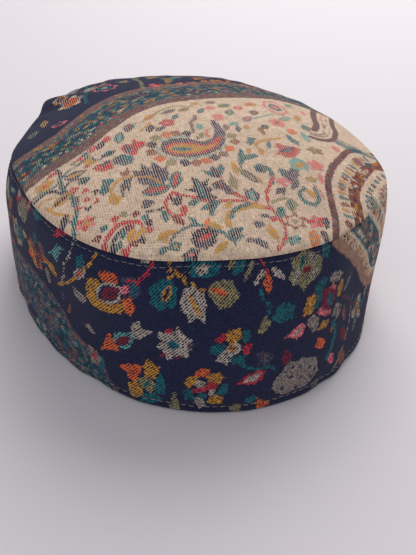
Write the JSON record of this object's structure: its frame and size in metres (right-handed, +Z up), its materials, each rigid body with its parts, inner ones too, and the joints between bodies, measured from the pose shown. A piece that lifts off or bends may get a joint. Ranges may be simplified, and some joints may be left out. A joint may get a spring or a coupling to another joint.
{
  "type": "kani-woven pillbox cap",
  "caption": "Soft oval pillbox cap of pattern-woven wool: a domed paisley crown panel sewn to an upright floral side band, open below for the head, with its lower edge turned up as a hem.",
  "frame": {"origin": "middle of the rim's bounding rectangle, on the surface that the cap rests on", "axes": "+Z up through the crown, +Y towards the back of the head, +X towards the wearer's left"},
  "size_m": [0.1692, 0.206, 0.0855],
  "materials": {
    "band_cloth": "matte twill-woven wool, navy ground with woven flowers",
    "crown_cloth": "matte twill-woven wool, cream ground with woven paisley and leaves"
  },
  "bodies": {
    "root": {"side_band": "band_cloth", "crown_panel": "crown_cloth"}
  },
  "joints": []
}
